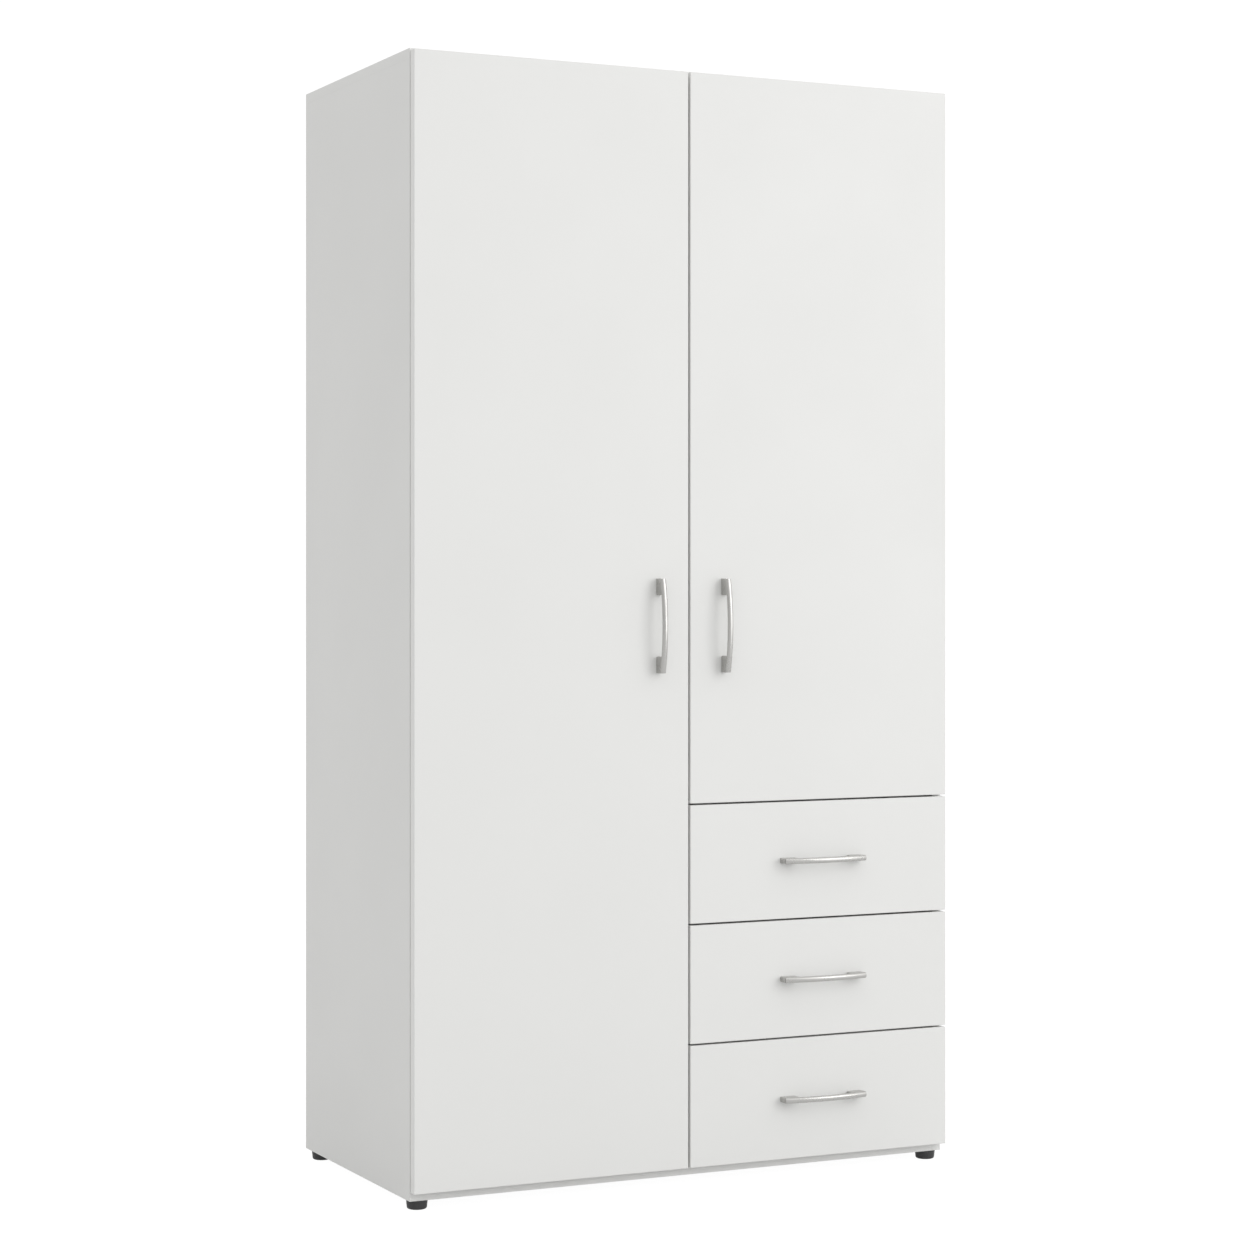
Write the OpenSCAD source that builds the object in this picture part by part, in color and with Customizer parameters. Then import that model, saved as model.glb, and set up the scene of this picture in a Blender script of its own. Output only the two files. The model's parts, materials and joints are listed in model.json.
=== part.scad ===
// Wardrobe with two hinged doors and three drawers.
// Z points up and the fronts face -Y. The origin is on the floor, at the middle of the outer box.

/* [Wardrobe] */
// Width over the two side panels
wardrobe_w = 960; // [800:1:1200]
// Height from the floor to the top face
wardrobe_h = 1800; // [1650:1:2200]
// Depth from the faces of the fronts to the back
wardrobe_d = 500; // [440:1:620]
// Distance of the divider's centre to the right of the middle
divider_x = -4; // [-60:1:60]

/* [Boards] */
// Thickness of the carcass boards
board_t = 16; // [15:0.5:19]
// Thickness of the hardboard backs and drawer bottoms
back_t = 3; // [2.5:0.1:5]
// Inset of the backs from the outline of the carcass
back_inset = 2; // [1:0.5:6]

/* [Fronts] */
// Thickness of the doors and drawer fronts
front_t = 16; // [15:0.5:19]
// Gap between the fronts and the carcass
front_gap = 2; // [1.5:0.1:4]
// Part of the side panel's edge left showing beside a front
side_reveal = 0.5; // [0:0.1:3]
// Part of the top panel's edge left showing above the doors
top_reveal = 3.5; // [1:0.1:8]
// Part of the bottom panel's edge left showing below the fronts
bottom_reveal = 14; // [2:0.1:15]
// Gap between the left door and the fronts on the right
centre_gap = 4; // [2:0.1:6]
// Gap between one front and the next one above it
row_gap = 3; // [2:0.1:6]
// Height of the two upper drawer fronts
drawer_front_h = 191; // [175:1:230]
// Height of the lowest drawer front
lowest_front_h = 196.5; // [180:0.5:235]

/* [Shelves] */
// Height of the hat shelf's top face
hat_shelf_z = 1516; // [1350:1:1560]
// Setback of the fixed shelves from the carcass's front edge
shelf_setback = 20; // [10:1:60]
// Height of the lower adjustable shelf's underside
shelf_1_z = 1000; // [900:1:1100]
// Height of the upper adjustable shelf's underside
shelf_2_z = 1380; // [1250:1:1450]
// Play of an adjustable shelf on each side
shelf_play = 0.8; // [0.4:0.1:2]
// Drop of the clothes rail's axis below the hat shelf
rail_drop = 60; // [45:1:90]

/* [Drawers] */
// Thickness of the drawer sides and back
box_t = 12; // [10:0.5:15]
// Height of a drawer box
box_h = 120; // [100:1:130]
// Length of a drawer box behind its front
box_l = 450; // [300:1:450]
// Height of a drawer box's lower edge above the lower edge of its front
box_rise = 20; // [18:1:30]
// Room for a runner on each side of a drawer box
runner_room = 13; // [12.5:0.1:15]
// Height of a runner channel
runner_h = 32; // [28:1:40]

/* [Handles] */
// Length of a bow handle
handle_l = 152; // [120:1:220]
// Distance between a handle's screws
handle_centres = 128; // [96:1:192]
// Height of the bow above the front at its middle
handle_proud = 28; // [24:0.5:40]
// Height of the bow above the front at its ends
handle_end_proud = 19.5; // [16:0.5:24]
// Width of a handle
handle_w = 9.5; // [8:0.5:16]
// Thickness of the bow
bow_t = 5; // [4:0.5:7]
// Length of each handle foot
handle_foot_l = 27; // [22:1:30]
// Height of the door handles' middle above the floor
door_handle_z = 903.5; // [800:0.5:1100]
// Distance of the left handle from the left door's free edge
left_handle_in = 53.5; // [30:0.5:90]
// Distance of the right handle from the right door's free edge
right_handle_in = 60; // [30:0.5:90]

/* [Feet] */
// Height of a foot
foot_h = 15; // [10:1:30]
// Diameter of a foot
foot_d = 34; // [28:1:44]
// Distance of a corner foot's centre from the side's outer face
foot_inset = 19; // [18:0.5:40]
// Distance of a front foot's centre from the carcass's front edge
foot_front_in = 18; // [18:0.5:60]
// Distance of a rear foot's centre from the carcass's rear edge
foot_rear_in = 27; // [18:0.5:60]

/* [Hidden] */
$fn = 48;

// Planes of the carcass, from the front to the rear
front_y = -(wardrobe_d + handle_proud) / 2 + handle_proud;
front_back_y = front_y + front_t;
carcass_y0 = front_back_y + front_gap;
rear_y = front_y + wardrobe_d;
carcass_y1 = rear_y - back_t;

// Planes of the carcass, across and up
half_w = wardrobe_w / 2;
side_in = half_w - board_t;
bottom_z = foot_h;
floor_z = foot_h + board_t;
ceiling_z = wardrobe_h - board_t;
divider_x0 = divider_x - board_t / 2;
divider_x1 = divider_x + board_t / 2;

// Places at equal steps from one value to another
function spread(a, b, count) = [for (i = [0 : count - 1]) a + (b - a) * i / (count - 1)];

// Edges of the fronts
fronts_z0 = bottom_z + bottom_reveal;
fronts_z1 = wardrobe_h - top_reveal;
left_x0 = -half_w + side_reveal;
left_x1 = divider_x - centre_gap / 2;
right_x0 = divider_x + centre_gap / 2;
right_x1 = half_w - side_reveal;

// Lower edge and height of drawer front n, where 1 is the uppermost
function front_h(n) = n == 3 ? lowest_front_h : drawer_front_h;
function front_z(n) = n == 3 ? fronts_z0 : front_z(n + 1) + front_h(n + 1) + row_gap;
right_door_z0 = front_z(1) + drawer_front_h + row_gap;
drawer_shelf_z = right_door_z0 - row_gap / 2 - board_t / 2;

// Play between pieces that are put together, and a little extra for clean cuts
fit = 0.1;
running_fit = 0.1;
cut = 1;

// Cam fittings and dowels: distances from the joint, depths and diameters
cam_d = 15;
cam_depth = 12.5;
cam_in = 24;
bolt_d = 7;
thread_d = 5;
thread_l = 10;
dowel_d = 8;
dowel_in = 20;
dowel_out = 10;
cam_ys = [carcass_y0 + 60, carcass_y1 - 60];
dowel_ys = [carcass_y0 + 92, carcass_y1 - 92];

// Each board joint runs along Y: [x, z, angle of the end's direction, face that the cam is in]
join_left_top = [-side_in - board_t / 2, ceiling_z, 90, -1];
join_right_top = [side_in + board_t / 2, ceiling_z, 90, 1];
join_divider_top = [divider_x, ceiling_z, 90, 1];
join_divider_bottom = [divider_x, floor_z, -90, -1];
join_bottom_left = [-side_in, bottom_z + board_t / 2, 180, 1];
join_bottom_right = [side_in, bottom_z + board_t / 2, 0, -1];
join_hat_left = [-side_in, hat_shelf_z - board_t / 2, 180, 1];
join_hat_divider = [divider_x0, hat_shelf_z - board_t / 2, 0, -1];
join_shelf_divider = [divider_x1, drawer_shelf_z + board_t / 2, 180, 1];
join_shelf_right = [side_in, drawer_shelf_z + board_t / 2, 0, -1];
joins = [
    join_left_top, join_right_top, join_divider_top, join_divider_bottom, join_bottom_left,
    join_bottom_right, join_hat_left, join_hat_divider, join_shelf_divider, join_shelf_right
];

// Concealed hinges, seen from above with U from the door's outer edge and V to the rear.
// The pole is the point about which the door turns. The link turns on the cup's pin, and the arm's
// pin moves in the link's slot.
pole_in = 6;
pole_v = 13;
cup_d = 35;
cup_depth = 12;
cup_in = 20.5;
cup_wall = 1;
cup_flange = 1;
cup_screw_v = 9.5;
cup_screw_z = 22.5;
arm_pivot = [24, 6.5];
cup_pivot_r = 8;
cup_pivot_angle = 62.65;
pivot_d = 3;
link_angle = -2.91;
link_h = 8;
link_slot = [16.87, 20.33];
link_slot_play = 0.75;
link_bulge = 2.4;
link_t = 2.6;
link_eye_wall = 1.5;
link_slot_wall = 1.3;
cheek_t = 3;
hinge_end = 100;
plate_y = 37;
plate_screw_z = 16;
plate_u = board_t - side_reveal - pole_in;
plate_h = 8;
arm_nose_r = 3;
arm_u0 = plate_u + plate_h;
arm_u1 = arm_pivot[0] + arm_nose_r;
arm_l = 78;
arm_play = 0.3;
carcass_v = pole_v + front_gap;
pole_y = front_back_y - pole_v;
pole_left_x = left_x0 + pole_in;
pole_right_x = right_x1 - pole_in;
cup_pivot = cup_pivot_r * [cos(cup_pivot_angle), sin(cup_pivot_angle)];
hinges_left_z = spread(fronts_z0 + hinge_end, fronts_z1 - hinge_end, 4);
hinges_right_z = spread(right_door_z0 + hinge_end, fronts_z1 - hinge_end, 3);

// Screws
screw_d = 4;
screw_head_d = 8;
screw_head_t = 2;
screw_l = 13;
short_screw_l = 11;

// Adjustable shelves
pin_d = 5;
pin_depth = 9;
pin_out = 8;
pin_step = 32;
pin_ys = [carcass_y0 + 50, carcass_y1 - 70];
shelf_x0 = divider_x1 + shelf_play;
shelf_x1 = side_in - shelf_play;

// Clothes rail: an oval tube in two cups
rail_h = 30;
rail_t = 15;
rail_wall = 1.2;
rail_z = hat_shelf_z - board_t - rail_drop;
rail_y = (carcass_y0 + carcass_y1) / 2;
bracket_base = 3;
bracket_depth = 12;
bracket_wall = 3;
bracket_screw_y = 22;

// Nails of the back, in columns along the upright boards and in rows along the top and bottom
nail_d = 1.6;
nail_head_d = 4;
nail_head_t = 0.8;
nail_l = 18;
nail_step = 220;
nail_end_z = 40;
nail_end_x = 80;
nail_divider_x = 60;
nail_edge_x = half_w - board_t / 2;
nail_columns = [-nail_edge_x, divider_x - board_t / 4, divider_x + board_t / 4, nail_edge_x];
nail_rows = [bottom_z + board_t / 2, wardrobe_h - board_t / 2];
function nail_marks(a, b) = spread(a, b, ceil((b - a) / nail_step) + 1);
nail_zs = nail_marks(bottom_z + nail_end_z, wardrobe_h - nail_end_z);
nail_row_xs = concat(
    nail_marks(-half_w + nail_end_x, divider_x - nail_divider_x),
    nail_marks(divider_x + nail_divider_x, half_w - nail_end_x)
);

// Wall brackets
wall_leaf_l = 40;
wall_leaf_w = 30;
wall_leaf_t = 2;
wall_hole_d = 6;
wall_bracket_in = 180;
wall_xs = [-half_w + wall_bracket_in, half_w - wall_bracket_in];

// Drawer runners: distances from the panel towards the drawer
sheet_t = 1.2;
runner_reach = 10.5;
runner_play = 0.4;
runner_rise = 10;
runner_setback = 2;
runner_flange_z = 14;
runner_screw_rise = 22;
runner_screw_ys = [carcass_y0 + 37, carcass_y0 + 261];
runner_screw_l = 11.8;
pad_l = 30;
front_pad_l = 20;
pad_setback = 4;
groove_depth = 5;
groove_rise = 10;
box_x0 = divider_x1 + runner_room;
box_x1 = side_in - runner_room;
box_y1 = front_back_y + box_l;
runner_y0 = carcass_y0 + runner_setback;
runner_y1 = box_y1 + pad_setback;
function box_z(n) = front_z(n) + box_rise;
function runner_z(n) = box_z(n) + runner_rise;

// Cams, dowels and screws of a drawer box, with heights above the box's lower edge
box_cam_d = 12;
box_cam_depth = box_t - 2;
box_cam_z = box_h / 2;
box_dowel_d = 6;
box_dowel_in = 15;
box_dowel_out = 9;
box_dowel_zs = [36, box_h - 24];
box_screw_zs = [48, box_h - 24];
box_screw_l = 30;

// Feet
foot_pin_d = 8;
foot_pin_l = 11;
foot_pin_shift = 8;
foot_round = 3;
foot_xs = half_w - foot_inset;
foot_front_y = carcass_y0 + foot_front_in;
foot_rear_y = carcass_y1 - foot_rear_in;

// Bumpers
bumper_d = 5;
bumper_play = 0.4;
bumper_t = front_gap - bumper_play;
bumper_top_in = 100;
left_bumper_rise = 170;
right_bumper_rise = 30;

// Handle screws
handle_screw_l = front_t + handle_end_proud - bow_t - cut;

// ---------------------------------------------------------------- helpers

module block(lo, hi) {
    translate(lo) cube(hi - lo);
}

module along_x(p) {
    translate(p) rotate([0, 90, 0]) children();
}

module along_y(p) {
    translate(p) rotate([-90, 0, 0]) children();
}

module at_join(j) {
    translate([j[0], 0, j[1]]) rotate([0, -j[2], 0]) children();
}

// The cam's face is +Z or -Z in the joint's own frame
module face_up(side) {
    rotate([side < 0 ? 180 : 0, 0, 0]) children();
}

module cam_bores() {
    translate([-cam_in, 0, board_t / 2 - cam_depth]) cylinder(d = cam_d, h = cam_depth + cut);
    along_x([-cam_in, 0, 0]) cylinder(d = bolt_d, h = cam_in);
    along_x([-cut, 0, 0]) cylinder(d = thread_d, h = thread_l + cut);
}

module join_bores(list) {
    for (j = list) at_join(j) {
        for (y = cam_ys) translate([0, y, 0]) face_up(j[3]) cam_bores();
        for (y = dowel_ys) along_x([-dowel_in, y, 0]) cylinder(d = dowel_d, h = dowel_in + dowel_out);
    }
}

// Cam disc with a pocket for the bolt's head and a cross slot for the driver
module cam(face) {
    slot_l = 9;
    slot_w = 2;
    slot_depth = 2;
    difference() {
        translate([-cam_in, 0, face - cam_depth + fit])
            cylinder(d = cam_d - fit, h = cam_depth - fit);
        along_x([-cam_in, 0, 0]) cylinder(d = bolt_d + fit, h = cam_d);
        translate([-cam_in, 0, face - slot_depth]) {
            translate([-slot_l / 2, -slot_w / 2, 0]) cube([slot_l, slot_w, slot_depth + cut]);
            translate([-slot_w / 2, -slot_l / 2, 0]) cube([slot_w, slot_l, slot_depth + cut]);
        }
    }
}

module cam_bolt() {
    head_l = 2.5;
    neck_l = 3.5;
    neck_d = 4;
    start = -cam_in + 1;
    along_x([start, 0, 0]) cylinder(d = bolt_d - 2 * fit, h = head_l);
    along_x([start + head_l, 0, 0]) cylinder(d = neck_d, h = neck_l);
    along_x([start + head_l + neck_l, 0, 0])
        cylinder(d = bolt_d - 2 * fit, h = -start - head_l - neck_l);
    along_x([0, 0, 0]) cylinder(d = thread_d - fit, h = thread_l - fit);
}

// Screw whose head rests on the plane z = 0 and whose shank points to -Z
module screw(shank = screw_l) {
    recess_l = 4;
    recess_w = 1;
    difference() {
        cylinder(d = screw_head_d, h = screw_head_t);
        for (a = [0, 90]) rotate([0, 0, a])
            translate([-recess_l / 2, -recess_w / 2, screw_head_t / 2])
                cube([recess_l, recess_w, screw_head_t]);
    }
    translate([0, 0, -shank]) cylinder(d = screw_d - fit, h = shank);
}

module screw_hole(shank = screw_l) {
    translate([0, 0, -shank - fit]) cylinder(d = screw_d, h = shank + fit + cut);
}

// Turns +Z to the given direction across the wardrobe: 1 is +X and -1 is -X
module facing_x(p, way) {
    translate(p) rotate([0, 90 * way, 0]) children();
}

// ---------------------------------------------------------------- carcass fasteners

module plate_screws_at(side_x, way, zs) {
    for (z = zs, dz = [-1, 1])
        facing_x([side_x, carcass_y0 + plate_y, z + dz * plate_screw_z], way) children();
}

// Places of the runner screws on one panel, for all three drawers
module runner_screws_at(panel_x, way) {
    for (n = [1 : 3], y = runner_screw_ys)
        facing_x([panel_x, y, runner_z(n) + runner_screw_rise], way) children();
}

module bracket_screws_at(panel_x, way) {
    for (dy = [-1, 1])
        facing_x([panel_x, rail_y + dy * bracket_screw_y, rail_z], way) children();
}

module wall_bracket_screws_at() {
    for (x = wall_xs) translate([x, carcass_y1 - wall_leaf_l / 2, ceiling_z])
        rotate([180, 0, 0]) children();
}

module carcass_screws() {
    color("silver") {
        plate_screws_at(-side_in, 1, hinges_left_z) translate([0, 0, sheet_t * 2]) screw();
        plate_screws_at(side_in, -1, hinges_right_z) translate([0, 0, sheet_t * 2]) screw();
        runner_screws_at(divider_x1, 1) translate([0, 0, sheet_t]) screw(runner_screw_l);
        runner_screws_at(side_in, -1) translate([0, 0, sheet_t]) screw(runner_screw_l);
        bracket_screws_at(-side_in, 1) translate([0, 0, bracket_base]) screw();
        bracket_screws_at(divider_x0, -1) translate([0, 0, bracket_base]) screw(short_screw_l);
        wall_bracket_screws_at() translate([0, 0, wall_leaf_t]) screw();
    }
}

// System holes for the pins of the adjustable shelves
module pin_holes(panel_x, way) {
    for (z = [shelf_1_z, shelf_2_z], y = pin_ys, i = [-2 : 2])
        facing_x([panel_x, y, z - pin_d / 2 + i * pin_step], way)
            translate([0, 0, -pin_depth - fit]) cylinder(d = pin_d + fit, h = pin_depth + fit + cut);
}

module at_nails() {
    for (x = nail_columns, z = nail_zs) along_y([x, rear_y, z]) children();
    for (x = nail_row_xs, z = nail_rows) along_y([x, rear_y, z]) children();
}

module nail_hole() {
    translate([0, 0, -nail_l - fit]) cylinder(d = nail_d, h = nail_l + cut);
    translate([0, 0, -nail_head_t]) cylinder(d = nail_head_d, h = nail_head_t + cut);
}

module back_panel_nails() {
    color("silver") at_nails() {
        translate([0, 0, -nail_l]) cylinder(d = nail_d - fit, h = nail_l - nail_head_t);
        translate([0, 0, -nail_head_t]) cylinder(d = nail_head_d - fit, h = nail_head_t);
    }
}

// Only the nails of one column or row, for the edge of one board
module column_nail_holes(xs) {
    for (x = xs, z = nail_zs) along_y([x, rear_y, z]) nail_hole();
}

module row_nail_holes(z) {
    for (x = nail_row_xs) along_y([x, rear_y, z]) nail_hole();
}

// ---------------------------------------------------------------- carcass boards

module side_panel_left() {
    color("white") difference() {
        block([-half_w, carcass_y0, bottom_z], [-side_in, carcass_y1, ceiling_z]);
        join_bores([join_left_top, join_bottom_left, join_hat_left]);
        plate_screws_at(-side_in, 1, hinges_left_z) screw_hole();
        bracket_screws_at(-side_in, 1) screw_hole();
        column_nail_holes([-nail_edge_x]);
    }
}

module side_panel_right() {
    color("white") difference() {
        block([side_in, carcass_y0, bottom_z], [half_w, carcass_y1, ceiling_z]);
        join_bores([join_right_top, join_bottom_right, join_shelf_right]);
        plate_screws_at(side_in, -1, hinges_right_z) screw_hole();
        runner_screws_at(side_in, -1) screw_hole();
        pin_holes(side_in, -1);
        column_nail_holes([nail_edge_x]);
    }
}

module top_panel() {
    color("white") difference() {
        block([-half_w, carcass_y0, ceiling_z], [half_w, carcass_y1, wardrobe_h]);
        join_bores([join_left_top, join_right_top, join_divider_top]);
        wall_bracket_screws_at() screw_hole();
        row_nail_holes(nail_rows[1]);
    }
}

module bottom_panel() {
    color("white") difference() {
        block([-side_in, carcass_y0, bottom_z], [side_in, carcass_y1, floor_z]);
        join_bores([join_bottom_left, join_bottom_right, join_divider_bottom]);
        row_nail_holes(nail_rows[0]);
        at_feet() translate([0, 0, foot_h]) cylinder(d = foot_pin_d, h = foot_pin_l + fit);
    }
}

module divider_panel() {
    color("white") difference() {
        block([divider_x0, carcass_y0, floor_z], [divider_x1, carcass_y1, ceiling_z]);
        join_bores([join_divider_top, join_divider_bottom, join_hat_divider, join_shelf_divider]);
        bracket_screws_at(divider_x0, -1) screw_hole(short_screw_l);
        runner_screws_at(divider_x1, 1) screw_hole(runner_screw_l);
        pin_holes(divider_x1, 1);
        column_nail_holes([nail_columns[1], nail_columns[2]]);
    }
}

module back_panel(x0, x1) {
    seam = 0.4;
    z0 = bottom_z + back_inset;
    z1 = wardrobe_h - back_inset;
    color("saddlebrown") difference() {
        block([x0 + seam / 2, carcass_y1, z0], [x1 - seam / 2, rear_y, z1]);
        at_nails() nail_hole();
        for (x = wall_xs) along_y([x, carcass_y1 - cut, ceiling_z - wall_leaf_l / 2])
            cylinder(d = wall_hole_d, h = back_t + 2 * cut);
    }
}

module back_panel_left() {
    back_panel(-half_w + back_inset, divider_x);
}

module back_panel_right() {
    back_panel(divider_x, half_w - back_inset);
}

module hat_shelf() {
    color("white") difference() {
        block([-side_in, carcass_y0 + shelf_setback, hat_shelf_z - board_t],
              [divider_x0, carcass_y1, hat_shelf_z]);
        join_bores([join_hat_left, join_hat_divider]);
    }
}

module drawer_top_shelf() {
    color("white") difference() {
        block([divider_x1, carcass_y0 + shelf_setback, drawer_shelf_z],
              [side_in, carcass_y1, drawer_shelf_z + board_t]);
        join_bores([join_shelf_divider, join_shelf_right]);
    }
}

module adjustable_shelf(z) {
    color("white") block([shelf_x0, carcass_y0 + shelf_setback, z],
                         [shelf_x1, carcass_y1 - shelf_play, z + board_t]);
}

module adjustable_shelf_1() {
    adjustable_shelf(shelf_1_z);
}

module adjustable_shelf_2() {
    adjustable_shelf(shelf_2_z);
}

module shelf_pin() {
    collar_d = 7;
    collar_t = 1;
    translate([0, 0, -pin_depth]) cylinder(d = pin_d, h = pin_depth + pin_out);
    intersection() {
        cylinder(d = collar_d, h = collar_t);
        translate([-collar_d, -collar_d, 0]) cube([collar_d + pin_d / 2, 2 * collar_d, collar_t]);
    }
}

module shelf_pins() {
    color("silver") for (z = [shelf_1_z, shelf_2_z], y = pin_ys) {
        translate([divider_x1, y, z - pin_d / 2]) rotate([0, 90, 0]) mirror([1, 0, 0])
            shelf_pin();
        translate([side_in, y, z - pin_d / 2]) rotate([0, -90, 0]) shelf_pin();
    }
}

module cam_fittings() {
    color("gray") for (j = joins) at_join(j) for (y = cam_ys) translate([0, y, 0]) face_up(j[3]) {
        cam(board_t / 2);
        cam_bolt();
    }
}

module dowels() {
    color("burlywood") for (j = joins) at_join(j) for (y = dowel_ys)
        along_x([-dowel_in + cut, y, 0])
            cylinder(d = dowel_d - fit, h = dowel_in + dowel_out - 2 * cut);
}

// ---------------------------------------------------------------- clothes rail

module oval(h, w) {
    for (s = [-1, 1]) translate([s * (h - w) / 2, 0]) circle(d = w);
    square([h - w, w], center = true);
}

module clothes_rail() {
    x0 = -side_in + bracket_base + fit;
    x1 = divider_x0 - bracket_base - fit;
    color("gainsboro") along_x([x0, rail_y, rail_z]) linear_extrude(x1 - x0) difference() {
        oval(rail_h, rail_t);
        oval(rail_h - 2 * rail_wall, rail_t - 2 * rail_wall);
    }
}

// Cup that holds one end of the rail, with an ear for a screw on each side
module rail_bracket() {
    ear_d = 12;
    difference() {
        union() {
            linear_extrude(bracket_depth) oval(rail_h + 2 * bracket_wall, rail_t + 2 * bracket_wall);
            linear_extrude(bracket_base) rotate([0, 0, 90])
                oval(2 * bracket_screw_y + ear_d, ear_d);
        }
        translate([0, 0, bracket_base]) linear_extrude(bracket_depth)
            oval(rail_h + 2 * fit, rail_t + 2 * fit);
        for (dy = [-1, 1]) translate([0, dy * bracket_screw_y, -cut])
            cylinder(d = screw_d, h = bracket_base + 2 * cut);
    }
}

module rail_brackets() {
    color("gainsboro") {
        facing_x([-side_in, rail_y, rail_z], 1) rail_bracket();
        facing_x([divider_x0, rail_y, rail_z], -1) rail_bracket();
    }
}

// ---------------------------------------------------------------- wall brackets, bumpers and feet

module wall_brackets() {
    y0 = carcass_y1 - wall_leaf_l;
    color("silver") for (x = wall_xs) difference() {
        union() {
            block([x - wall_leaf_w / 2, y0, ceiling_z - wall_leaf_t],
                  [x + wall_leaf_w / 2, carcass_y1, ceiling_z]);
            block([x - wall_leaf_w / 2, carcass_y1 - wall_leaf_t, ceiling_z - wall_leaf_l],
                  [x + wall_leaf_w / 2, carcass_y1, ceiling_z]);
        }
        translate([x, carcass_y1 - wall_leaf_l / 2, ceiling_z - wall_leaf_l / 2])
            cylinder(d = screw_d, h = wall_leaf_l);
        along_y([x, carcass_y1 - wall_leaf_t - cut, ceiling_z - wall_leaf_l / 2])
            cylinder(d = wall_hole_d, h = wall_leaf_t + 2 * cut);
    }
}

module door_bumpers() {
    left_x = (divider_x0 + left_x1) / 2;
    right_x = (divider_x1 + right_x0) / 2;
    color("gainsboro") {
        for (z = [fronts_z0 + left_bumper_rise, fronts_z1 - bumper_top_in])
            along_y([left_x, carcass_y0 - bumper_t, z]) cylinder(d = bumper_d, h = bumper_t);
        for (z = [right_door_z0 + right_bumper_rise, fronts_z1 - bumper_top_in])
            along_y([right_x, carcass_y0 - bumper_t, z]) cylinder(d = bumper_d, h = bumper_t);
    }
}

// Each foot's pin goes up into the bottom panel, a little inwards of the foot's centre
module at_feet() {
    for (sx = [-1, 1], y = [foot_front_y, foot_rear_y])
        translate([sx * (foot_xs - foot_pin_shift), y, 0]) children();
    translate([divider_x, (carcass_y0 + carcass_y1) / 2, 0]) children();
}

// Round foot, narrower towards the floor and rounded at its lower edge
module foot() {
    taper = 1.5;
    lower_r = foot_d / 2 - taper;
    rotate_extrude() {
        translate([lower_r - foot_round, foot_round]) circle(r = foot_round);
        square([lower_r - foot_round, 2 * foot_round]);
        polygon([[0, foot_round], [lower_r, foot_round], [foot_d / 2, foot_h], [0, foot_h]]);
    }
}

module foot_pin() {
    translate([0, 0, foot_h - cut]) cylinder(d = foot_pin_d - fit, h = foot_pin_l + cut);
}

module feet() {
    color("#262626") {
        for (sx = [-1, 1], y = [foot_front_y, foot_rear_y]) translate([sx * foot_xs, y, 0]) {
            foot();
            translate([-sx * foot_pin_shift, 0, 0]) foot_pin();
        }
        translate([divider_x, (carcass_y0 + carcass_y1) / 2, 0]) {
            foot();
            foot_pin();
        }
    }
}

// ---------------------------------------------------------------- concealed hinges

// Puts a hinge drawn in the left door's U, V frame at the poles of one door
module at_hinges(pole_x, mirrored, zs) {
    for (z = zs) translate([pole_x, pole_y, z]) mirror([mirrored ? 1 : 0, 0, 0]) children();
}

module at_all_hinges() {
    for (z = hinges_left_z) translate([pole_left_x, pole_y, z]) children();
    for (z = hinges_right_z) translate([pole_right_x, pole_y, z]) mirror([1, 0, 0]) children();
}

// Base plate on the side panel, with a ridge that carries the arm
module hinge_plate() {
    base_t = 2 * sheet_t;
    base_l = 50;
    base_w = 14;
    ridge_w = 12;
    ridge_v0 = carcass_v + 18;
    ridge_v1 = carcass_v + 68;
    v_screw = carcass_v + plate_y;
    difference() {
        union() {
            block([plate_u, v_screw - base_w / 2, -base_l / 2],
                  [plate_u + base_t, v_screw + base_w / 2, base_l / 2]);
            block([plate_u, ridge_v0, -ridge_w / 2], [arm_u0, ridge_v1, ridge_w / 2]);
        }
        for (dz = [-1, 1]) along_x([plate_u - cut, v_screw, dz * plate_screw_z])
            cylinder(d = screw_d, h = base_t + 2 * cut);
    }
}

module hinge_plates() {
    color("silver") at_all_hinges() hinge_plate();
}

// Arm with a forked nose that carries the link's pivot pin
module hinge_arm() {
    slot_h = link_h + 2 * arm_play;
    h = slot_h + 2 * cheek_t;
    u = arm_pivot[0];
    v = arm_pivot[1];
    fork_l = 7.5;
    ramp_v0 = carcass_v + 8;
    ramp_v1 = carcass_v + 20;
    recess_d = 7;
    recess_t = 2;
    recess_vs = [carcass_v + 32, carcass_v + 62];
    difference() {
        translate([0, 0, -h / 2]) linear_extrude(h) {
            translate([u, v]) circle(r = arm_nose_r);
            polygon([
                [u - arm_nose_r, v], [arm_u1, v], [arm_u1, carcass_v + arm_l],
                [arm_u0, carcass_v + arm_l], [arm_u0, ramp_v1], [u - arm_nose_r, ramp_v0]
            ]);
        }
        block([arm_u0, v - 2 * arm_nose_r, -slot_h / 2], [arm_u1 + cut, v + fork_l, slot_h / 2]);
        for (recess_v = recess_vs) along_x([arm_u1 - recess_t, recess_v, 0])
            cylinder(d = recess_d, h = recess_t + cut);
    }
    translate([u, v, -h / 2]) cylinder(d = pivot_d, h = h);
}

module hinge_arms() {
    color("lightgray") at_all_hinges() hinge_arm();
}

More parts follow.
